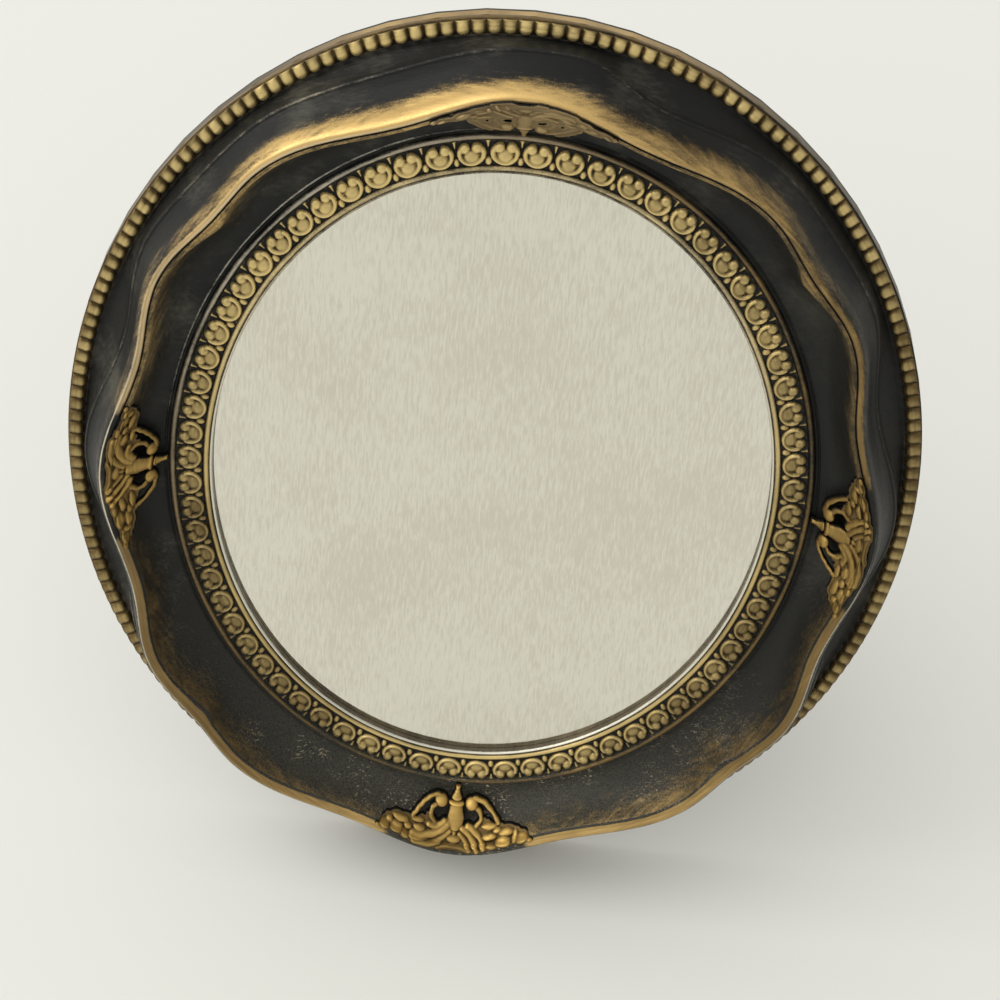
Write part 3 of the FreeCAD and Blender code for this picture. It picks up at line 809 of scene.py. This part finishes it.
# Strokes and bosses of a cartouche, u out from its middle line and w up its slope. First comes the side
# that each stands on, or 0 for both, then a stroke's points, radii and height, or a boss's middle,
# half sizes and height.
cartouche_strokes = (
    (0, ((6.4, 5.0), (11.2, 4.8), (16.2, 14.4)), (0.85, 0.7), 1.8),
    (0, ((7.6, 8.6), (11.0, 11.8), (7.8, 14.9)), (0.75, 0.8), 1.6),
    (0, ((0, 22.2), (3.0, 21.9), (5.6, 23.6)), (0.6, 0.6), 1.2),
    (1, ((2.8, 14.8), (6.0, 20.4), (15.4, 20.6)), (1.4, 1.2), 2.5),
    (1, ((3.9, 14.2), (7.2, 17.6), (9.8, 15.9)), (1.2, 0.9), 2.3),
    (1, ((1.6, 17.2), (5.5, 23.6), (14.8, 22.6)), (0.9, 1.1), 2.0),
    (-1, ((2.6, 15.8), (6.6, 18.2), (9.0, 23.4)), (1.0, 0.9), 2.2),
    (-1, ((4.6, 14.8), (8.9, 17.2), (11.6, 22.6)), (1.0, 0.8), 2.4),
    (-1, ((2.0, 18.0), (4.4, 20.0), (6.2, 23.4)), (0.8, 0.8), 1.8),
)
cartouche_bosses = (
    (0, (5.6, 6.8), (2.2, 2.3), 2.9),
    (0, (0, 20.0), (2.6, 1.4), 2.4),
    (0, (0, 17.8), (0.8, 1.4), 1.7),
    (1, (13.2, 18.2), (2.2, 1.4), 2.5),
    (1, (14.2, 15.3), (2.5, 1.1), 2.2),
    (1, (20.4, 16.9), (2.9, 1.4), 2.5),
    (1, (17.6, 18.6), (1.5, 1.3), 2.3),
    (1, (21.6, 20.0), (2.2, 1.6), 2.4),
    (1, (24.6, 18.8), (1.3, 1.3), 2.2),
    (1, (26.2, 20.6), (1.7, 1.4), 2.2),
    (1, (18.2, 21.4), (1.6, 1.3), 2.1),
    (1, (28.6, 21.6), (1.1, 1.1), 1.7),
    (-1, (13.4, 19.2), (2.5, 1.3), 2.5),
    (-1, (12.8, 15.2), (2.9, 1.2), 2.4),
    (-1, (15.9, 16.9), (1.5, 1.1), 2.3),
    (-1, (19.4, 17.8), (2.6, 1.5), 2.6),
    (-1, (18.8, 20.8), (2.6, 1.6), 2.5),
    (-1, (22.9, 19.2), (1.0, 2.0), 2.3),
    (-1, (25.6, 20.4), (2.0, 1.4), 2.3),
    (-1, (28.3, 21.4), (1.4, 1.1), 1.8),
    (-1, (14.4, 22.2), (2.2, 0.9), 1.8),
)

# The lower edge of the plate behind them, by the distance from the middle line
plate_points = (
    (0, 17.4), (3.0, 15.0), (8.0, 14.4), (10.4, 11.8), (15.0, 14.4), (22.0, 14.6), (28.0, 17.0),
)

# Half widths of the vase and its finial, by the distance up the slope
vase_points = (
    (0.4, 1.0), (2.0, 0.9), (3.0, 1.2), (5.3, 2.1), (5.8, 1.1), (6.3, 3.0),
    (7.2, 3.0), (7.9, 2.5), (9.5, 2.6), (12.0, 3.2), (14.2, 2.9), (16.6, 1.6),
)


def vase_relief(u, w):
    """The vase in the middle of a cartouche, with the bell-shaped finial over it."""
    half_width = np.interp(w, *zip(*vase_points))
    inside = smooth_step(0.3, 0.8, w) * smooth_step(17.0, 16.2, w)
    body = np.sqrt(np.clip(1 - (u / half_width) ** 2, 0, None))
    height = 2.5 - 0.5 * smooth_step(5.9, 4.5, w) + 0.4 * bump(w, 7.0, 0.6) - 1.6 * bump(w, 6.0, 0.3)
    return np.where(body > 0, height * body**0.8 * inside, 0)


def cartouche_relief(u, w, seed, filled):
    """Height of a cartouche's carving over its grid. Where it is filled, a plate closes its gaps."""
    random = np.random.default_rng(seed)
    sway = random.uniform(-hand_sway, hand_sway, 4)
    cut = hand_cut_depth * smooth_step(3, 7, np.abs(u))
    bend_u = u + sway[0] * np.sin(w / 3) + sway[1] * np.sin(u / 4) + cut * np.sin(w * 1.7 + u * 0.8)
    bend_w = w + sway[2] * np.sin(u / 3.1) + sway[3] * np.sin(w / 2.7) + cut * np.sin(u * 1.3 - w * 0.6)
    side = np.abs(bend_u)
    relief = vase_relief(bend_u, bend_w)
    outwards = {0: side, 1: bend_u, -1: -bend_u}
    for chosen, points, radii, height in cartouche_strokes:
        full_radii = [stroke_fullness * radius for radius in radii]
        relief = np.maximum(relief, stroke(outwards[chosen], bend_w, points, full_radii, height))
    for chosen, middle, half_sizes, height in cartouche_bosses:
        full_sizes = [boss_fullness * size for size in half_sizes]
        relief = np.maximum(relief, boss(outwards[chosen], bend_w, middle, full_sizes, height))
    plate_foot = np.interp(side, *zip(*plate_points)) - 8 * filled
    least = 0.16 - 0.12 * filled + 0.6 * smooth_step(plate_half_width - 3, plate_half_width, side)
    backed = (bend_w > plate_foot) & (w < carving_length - 1) & (softened(relief, 7) > least)
    plate = np.where(backed, 0.4 + 0.9 * filled, 0.0)
    return np.maximum(relief, plate) * smooth_step(carving_length + 0.3, carving_length - 0.5, w)


def cartouche(name, start_angle, seed, filled=0.0):
    """A pierced, carved cartouche that leans over the cove from the fillet to the ridge."""
    step = 0.2
    u = np.arange(-cartouche_half_width, cartouche_half_width + step, step)[:, None]
    w = np.arange(0, carving_length + 4 * step, step)[None, :]
    relief = cartouche_relief(u, w, seed, filled)
    start = radians(start_angle)
    at_top_or_bottom = abs(cos(start)) > abs(sin(start))
    half_size = sight_half_width if at_top_or_bottom else sight_half_height
    crest = crest_at(start + u / (half_size + bulge_out))
    out = fillet_out + (crest + 0.4 - fillet_out) * w / carving_length
    turn = start + u / (half_size + out)
    ground = face_rise(turn, out)
    climb = ridge_rise + cartouche_head_margin - fillet_rise
    slope = fillet_rise + climb * w / carving_length
    carved = relief > 0.05
    carved[[0, -1]] = False
    carved[:, [0, -1]] = False
    rise = np.maximum(slope - 0.6, ground) + relief * 0.85
    rise = np.minimum(rise, ridge_rise + relief_limit)
    back_rise = np.maximum(slope - 0.6 - plate_thickness, ground - 0.4)
    back_rise = np.minimum(back_rise, rise - 0.1)
    hollow, proud = standing_out(relief, 4, 1.3)
    gold = carved_gold(relief, hollow, (0.74, 0.22, 0.55 - 0.4 * filled), (0.4, 1.4))
    # Walls round the carving's edge stay near black: partly the black ground, partly painted shade.
    inner = carved.copy()
    for shift, axis in ((1, 0), (-1, 0), (1, 1), (-1, 1)):
        inner &= np.roll(carved, shift, axis=axis)
    gold = np.where(inner, gold, 0.1)
    # The tone is brighter on proud parts: partly glaze in the hollows, partly painted highlight and
    # shade.
    tone = (0.25 * relief + 0.4 * proud) * (0.3 + 0.7 * gilt_brightness(start))
    marks = ring_marks(turn, out, gold, tone)
    return carved_mesh(name, placed(turn, out, rise), placed(turn, out, back_rise), carved, marks)


# Which sockets of a mix node hold colours
mix_colour_inputs = (6, 7)
mix_colour_output = 2


class Graph:
    """The nodes of a material or world. Values may be numbers, colours or other nodes' sockets."""

    def __init__(self, name, store=bpy.data.materials, shader="Principled BSDF"):
        self.owner = store.new(name)
        self.owner.use_nodes = True
        self.tree = self.owner.node_tree
        self.shader = self.tree.nodes[shader]

    def put(self, socket, value):
        """Links a socket to a socket, or sets a plain value on it."""
        if isinstance(value, bpy.types.NodeSocket):
            self.tree.links.new(value, socket)
        elif isinstance(value, (tuple, list)) and len(value) == 3 and len(socket.default_value) == 4:
            socket.default_value = (*value, 1)
        else:
            socket.default_value = value

    def node(self, kind, values, **settings):
        """A new node with its settings and inputs."""
        made = self.tree.nodes.new(kind)
        for key, value in settings.items():
            setattr(made, key, value)
        for key, value in values.items():
            self.put(made.inputs[key], value)
        return made

    def shade(self, **values):
        """Inputs of the shader, with the spaces of their names written as underscores."""
        for key, value in values.items():
            self.put(self.shader.inputs[key.replace("_", " ")], value)

    def math(self, operation, a, b=0.0):
        """One sum, product or the like."""
        return self.node("ShaderNodeMath", {0: a, 1: b}, operation=operation).outputs[0]

    def plus(self, a, b):
        """A sum."""
        return self.math("ADD", a, b)

    def times(self, a, b):
        """A product."""
        return self.math("MULTIPLY", a, b)

    def swing(self, value, strength):
        """A noise made to swing about 0, times a strength."""
        return self.times(self.math("SUBTRACT", value, 0.5), strength)

    def vectors(self, operation, a, b):
        """One difference, product or the like of two vectors."""
        return self.node("ShaderNodeVectorMath", {0: a, 1: tuple(b)}, operation=operation).outputs

    def ramp_range(self, value, low, high, new_low=0.0, new_high=1.0, curve="SMOOTHSTEP"):
        """A value taken from one range to another, without going past its ends."""
        values = {"Value": value, "From Min": low, "From Max": high}
        values.update({"To Min": new_low, "To Max": new_high})
        return self.node("ShaderNodeMapRange", values, interpolation_type=curve).outputs[0]

    def mark(self, name):
        """A number kept on the mesh."""
        return self.node("ShaderNodeAttribute", {}, attribute_name=name).outputs["Fac"]

    def place(self, scale):
        """Place in the model, in metres, times a scale for each axis."""
        coordinates = self.node("ShaderNodeTexCoord", {}).outputs["Object"]
        return self.node("ShaderNodeMapping", {"Vector": coordinates, "Scale": scale}).outputs[0]

    def noise(self, vector, scale, detail, roughness, distortion=0.0):
        """Cloudy noise between 0 and 1."""
        values = {"Vector": vector, "Scale": scale, "Detail": detail, "Roughness": roughness,
                  "Distortion": distortion}
        return self.node("ShaderNodeTexNoise", values).outputs[0]

    def even_noise(self, scale, detail, roughness):
        """Cloudy noise of one scale in every direction, in waves to the metre."""
        return self.noise(self.place((1, 1, 1)), scale, detail, roughness)

    def along_ring(self, around, across):
        """Coordinates on the ring, for brush marks that follow it."""
        x = self.times(self.mark("ring_x"), around)
        y = self.times(self.mark("ring_y"), around)
        z = self.times(self.mark("ring_out"), across)
        return self.node("ShaderNodeCombineXYZ", {"X": x, "Y": y, "Z": z}).outputs[0]

    def mix(self, share, a, b):
        """A blend of two colours."""
        values = {"Factor": share, **dict(zip(mix_colour_inputs, (a, b)))}
        return self.node("ShaderNodeMix", values, data_type="RGBA").outputs[mix_colour_output]

    def bumps(self, height, strength, distance):
        """A bumped normal for the shader."""
        values = {"Height": height, "Strength": strength, "Distance": distance}
        return self.node("ShaderNodeBump", values).outputs[0]


# Colours of the gilding, the glass and the outer wall
lacquer = (0.010, 0.010, 0.009)
# A dusty grey for the black: partly dust, partly painted sheen
dust_and_sheen_lacquer = (0.083, 0.078, 0.058)
bare_ground = (0.42, 0.36, 0.25)
# Pale gold for painted highlights
painted_highlight_gilt = (0.78, 0.75, 0.64)
# The glass's silver tones, warm and streaked to paint a reflection
silver = (0.765, 0.74, 0.65)
streaked_reflection_silver = (0.66, 0.63, 0.54)
dust_speck = (0.85, 0.84, 0.80)
dull_wall = (0.30, 0.20, 0.09)
bright_wall = (0.54, 0.38, 0.17)
worn_off_wall = (0.13, 0.10, 0.06)
black_back = (0.014, 0.012, 0.010)


def gilded_material(name, bright, dull, gold_bias, streak_share):
    """Gold rubbed over a black ground, more of it where the mesh is marked so."""
    graph = Graph(name)
    streaks = graph.noise(graph.along_ring(14, 1.3), 1.0, 5, 0.6, 0.3)
    strokes = graph.noise(graph.place((240, 900, 520)), 1.0, 3, 0.6)
    grain = graph.even_noise(1500, 3, 0.7)
    clouds = graph.even_noise(38, 3, 0.5)
    brushed = graph.swing(streaks, streak_share)
    stroked = graph.swing(strokes, streak_share * 0.6)
    total = graph.plus(graph.mark("gold"), gold_bias)
    for part in (brushed, stroked, graph.swing(grain, 0.45), graph.swing(clouds, 0.35)):
        total = graph.plus(total, part)
    mask = graph.ramp_range(total, 0.2, 0.75)
    tone = graph.plus(graph.mark("relief"), graph.times(clouds, 0.6))
    tone = graph.ramp_range(graph.plus(tone, brushed), 0.35, 1.3)
    # Pale gold where the pale mark is set: painted highlights.
    gold = graph.mix(graph.mark("pale"), graph.mix(tone, dull, bright), painted_highlight_gilt)
    # Dusty grey on the black: partly dust, partly painted sheen, less of it where shade is painted.
    cloudy_dust_and_sheen = graph.ramp_range(graph.plus(clouds, stroked), 0.45, 0.85)
    cloudy_dust_and_sheen = graph.times(graph.mark("grey"), cloudy_dust_and_sheen)
    fine_dust = graph.times(graph.mark("dusty"), graph.ramp_range(grain, 0.2, 0.7))
    black = graph.mix(graph.math("MAXIMUM", cloudy_dust_and_sheen, fine_dust), lacquer, dust_and_sheen_lacquer)
    nicks = graph.ramp_range(graph.noise(graph.place((260, 420, 700)), 1.0, 2, 0.5, 3.0), 0.60, 0.67)
    nicks = graph.times(nicks, graph.mark("dusty"))
    nicks = graph.times(nicks, graph.ramp_range(clouds, 0.46, 0.58))
    black = graph.mix(nicks, black, bare_ground)
    rough = graph.math("SUBTRACT", grain, graph.times(mask, 0.3))
    graph.shade(
        Base_Color=graph.mix(mask, black, gold),
        Metallic=graph.times(mask, 0.7),
        Roughness=graph.ramp_range(rough, 0.2, 0.8, 0.32, 0.55),
        Normal=graph.bumps(graph.plus(streaks, grain), 0.35, 0.0004),
        Specular_IOR_Level=0.2,
    )
    return graph.owner


def mirror_material():
    """Silvered glass with a few specks of dust; its warm tint and faint streaks are a painted
    reflection.
    """
    graph = Graph("silvered_glass")
    strokes = graph.times(graph.noise(graph.place((1500, 190, 190)), 1.0, 3, 0.6), 0.6)
    cloudy = graph.times(graph.even_noise(16, 4, 0.55), 0.4)
    reflection_streaks = graph.ramp_range(graph.plus(strokes, cloudy), 0.40, 0.60)
    cells = graph.node("ShaderNodeTexVoronoi", {"Vector": graph.place((1, 1, 1)), "Scale": 330})
    dust = graph.ramp_range(cells.outputs[0], 0.075, 0.03)
    graph.shade(
        Base_Color=graph.mix(dust, graph.mix(reflection_streaks, silver, streaked_reflection_silver), dust_speck),
        Metallic=graph.math("SUBTRACT", 1.0, graph.times(dust, 0.6)),
        Roughness=graph.ramp_range(graph.plus(reflection_streaks, dust), 0, 1, 0.015, 0.07),
    )
    return graph.owner


def plain_material(name, dark, light, cloud_scale, grain_scale, roughness, metallic=0.0):
    """A finish of two tones, with clouds and grain, and a rough or polished skin."""
    graph = Graph(name)
    clouds = graph.noise(graph.place((cloud_scale,) * 3), 1.0, 4, 0.6, 0.4)
    grain = graph.even_noise(grain_scale, 3, 0.6)
    tone = graph.plus(graph.times(clouds, 0.75), graph.times(grain, 0.25))
    graph.shade(
        Base_Color=graph.mix(graph.ramp_range(tone, 0.3, 0.7), dark, light),
        Roughness=graph.ramp_range(grain, 0.2, 0.8, roughness - 0.08, roughness + 0.08),
        Metallic=metallic,
        Normal=graph.bumps(tone, 0.2, 0.0005),
    )
    return graph.owner


def rim_material():
    """The wooden ring: toned gold round its outer wall, and black at its back."""
    graph = Graph("toned_wooden_ring")
    place = graph.node("ShaderNodeTexCoord", {}).outputs["Object"]
    from_glass = graph.vectors("SUBTRACT", place, glass_middle)[0]
    depth = graph.vectors("DOT_PRODUCT", from_glass, back_normal)["Value"]
    streaks = graph.noise(graph.place((60, 60, 60)), 1.0, 4, 0.6)
    depth = graph.plus(depth, graph.swing(streaks, 0.0012))
    black_share = graph.ramp_range(depth, (ring_depth - 1.3) * mm, (ring_depth - 0.8) * mm)
    sideways = graph.math("ABSOLUTE", graph.node("ShaderNodeSeparateXYZ", {0: place}).outputs[0])
    sideways = graph.plus(sideways, graph.times(streaks, 0.02))
    gold = graph.mix(graph.ramp_range(streaks, 0.3, 0.7), dull_wall, bright_wall)
    gold = graph.mix(graph.ramp_range(sideways, 0.05, 0.10), gold, worn_off_wall)
    graph.shade(
        Base_Color=graph.mix(black_share, gold, black_back),
        Metallic=graph.times(graph.math("SUBTRACT", 1.0, black_share), 0.5),
        Roughness=graph.ramp_range(streaks, 0.2, 0.8, 0.4, 0.55),
    )
    return graph.owner


def dress(piece, material):
    """Gives a piece one material."""
    piece.data.materials.clear()
    piece.data.materials.append(material)


moulding = gilded_material("gilded_black_moulding", (0.74, 0.50, 0.19), (0.20, 0.13, 0.05), 0.0, 0.55)
cartouche_gold = gilded_material("gilded_cartouche", (0.74, 0.48, 0.14), (0.15, 0.095, 0.03), 0.05, 0.4)
carving = gilded_material("gilded_carving", (0.80, 0.61, 0.26), (0.12, 0.08, 0.03), 0.05, 0.4)
# The top cartouche's gold is darker and duller: painted shade.
shaded_top_gold = gilded_material("shaded_top_cartouche", (0.44, 0.32, 0.15), (0.13, 0.09, 0.045), 0.05, 0.5)

front = (
    (moulded_face(), moulding, "moulded_face", "black_gilt"),
    (sight_edge_lip(), carving, "sight_edge_lip", "gilding"),
    (egg_and_dart_row(), carving, "egg_and_dart_row", "gilding"),
    (outer_bead_row(), carving, "outer_bead_row", "gilding"),
    (cartouche("carved_top", 0, 1, filled=1.0), shaded_top_gold, "top_cartouche", "gilding"),
    (cartouche("carved_right", 90, 2), cartouche_gold, "right_cartouche", "gilding"),
    (cartouche("carved_bottom", 180.35, 3), cartouche_gold, "bottom_cartouche", "gilding"),
    (cartouche("carved_left", 270, 4), cartouche_gold, "left_cartouche", "gilding"),
    (silvered_glass(), mirror_material(), "mirror_glass", "mirror"),
)
for piece, material, node, slot in front:
    dress(piece, material)
    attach(piece, "mirror")
    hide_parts(node)

# Finishes of the back: two tones, the scale of their clouds and of their grain, and how rough they are
board_tones = ((0.012, 0.011, 0.010), (0.026, 0.024, 0.021))
card_tones = ((0.26, 0.18, 0.10), (0.36, 0.26, 0.16))
steel_tones = ((0.40, 0.34, 0.20), (0.56, 0.48, 0.30))
brass_tones = ((0.34, 0.24, 0.09), (0.58, 0.43, 0.18))
rim = rim_material()
board = plain_material("black_board", *board_tones, 90, 1400, 0.7)
card = plain_material("brown_card", *card_tones, 80, 1600, 0.85)
steel = plain_material("brassed_steel", *steel_tones, 300, 2500, 0.34, 0.9)
brass = plain_material("worn_brass", *brass_tones, 200, 2200, 0.36, 0.9)
finished_nodes = (
    (rim, ("wooden_ring",)),
    (card, ("packing_card",)),
    (board, ("back_board", "easel_strut")),
    (steel, ("board_hinge_leaf", "strut_hinge_leaf", "hinge_pin")),
    (steel, ("board_rivets", "strut_rivets", "turn_button_screws")),
)
cad_finishes = {name: material for material, names in finished_nodes for name in names}
for name, node in frame["nodes"].items():
    if name in cad_finishes:
        dress(node, cad_finishes[name])
    elif name.startswith("turn_button"):
        dress(node, brass)


# The floor, which is also all of the background that the camera sees, and the light of the room
floor_colour = (0.785, 0.785, 0.74)
floor_half = 6.0
window_place = (-3.2, 0.35, 3.5)
window_target = (0, 0, 0.15)
window_size = 3.0
window_power = 52
room_colour = (1.0, 0.995, 0.97)
room_light = (0.52, 0.98)
room_range = (-0.5, 1.0)
window_sharpness = 3.0


def floor():
    """A pale floor at height 0, where the mirror and the toes of its strut stand."""
    corners = [(x * floor_half, y * floor_half, 0) for x, y in ((-1, -1), (1, -1), (1, 1), (-1, 1))]
    mesh = bpy.data.meshes.new("pale_floor")
    mesh.from_pydata(corners, [], [(0, 1, 2, 3)])
    plane = in_scene("pale_floor", mesh)
    graph = Graph("pale_paper")
    clouds = graph.even_noise(3, 3, 0.5)
    pale = graph.mix(clouds, floor_colour, tuple(value * 1.03 for value in floor_colour))
    graph.shade(Base_Color=pale, Roughness=0.8)
    mesh.materials.append(graph.owner)


def window():
    """A soft square lamp on the window's side of the room."""
    lamp = bpy.data.lights.new("window", "AREA")
    lamp.shape = "SQUARE"
    lamp.size = window_size
    lamp.energy = window_power
    piece = in_scene("window", lamp)
    piece.location = window_place
    aim = Vector(window_target) - Vector(window_place)
    piece.rotation_euler = aim.to_track_quat("-Z", "Y").to_euler()


def world_light():
    """A pale surround, brighter on the window's side of the room."""
    graph = Graph("studio", bpy.data.worlds, "Background")
    bpy.context.scene.world = graph.owner
    direction = graph.node("ShaderNodeTexCoord", {}).outputs["Generated"]
    towards = graph.vectors("DOT_PRODUCT", direction, Vector(window_place).normalized())["Value"]
    near = graph.ramp_range(towards, *room_range, curve="LINEAR")
    sharper = graph.math("POWER", near, window_sharpness)
    least, more = room_light
    graph.shade(Color=room_colour, Strength=graph.plus(graph.times(sharper, more), least))


floor()
world_light()
window()


# The camera, fitted to the ovals of the frame in the picture. Its turn takes the mirror's own axes
# (right, down, away from the viewer) to the camera's, and its reach is where the middle of the glass
# lies from it, in sight half-widths.
camera_turn = (0.619227, 0.0292189, 0.0951574)
camera_reach = (-0.0194963, -0.0557584, 9.69951)
camera_lens = 97.385
sensor_width = 36.0
camera_shift = (0.004607, -0.000774)
camera_range = (0.05, 30)


def camera():
    """The camera, set up in the row frame."""
    turn = Vector(camera_turn)
    rotation = Matrix.Rotation(turn.length, 3, turn.normalized())
    reach = Vector(camera_reach) * sight_half_width * mm

    def from_mirror(direction):
        """A direction given in the mirror's own axes, in the row frame."""
        upright = Vector((direction.x, direction.z, -direction.y))
        return Matrix.Rotation(-lean, 3, "X") @ upright

    back = rotation.transposed()
    right, down, forward = (from_mirror(axis) for axis in rotation)
    place = glass_middle - from_mirror(back @ reach)
    data = bpy.data.cameras.new("camera")
    data.sensor_width = sensor_width
    data.lens = camera_lens
    data.shift_x, data.shift_y = camera_shift
    data.clip_start, data.clip_end = camera_range
    piece = in_scene("camera", data)
    axes = Matrix((right, -down, -forward)).transposed()
    piece.matrix_world = Matrix.Translation(place) @ axes.to_4x4()
    bpy.context.scene.camera = piece


camera()
bpy.context.scene.view_settings.view_transform = "Standard"
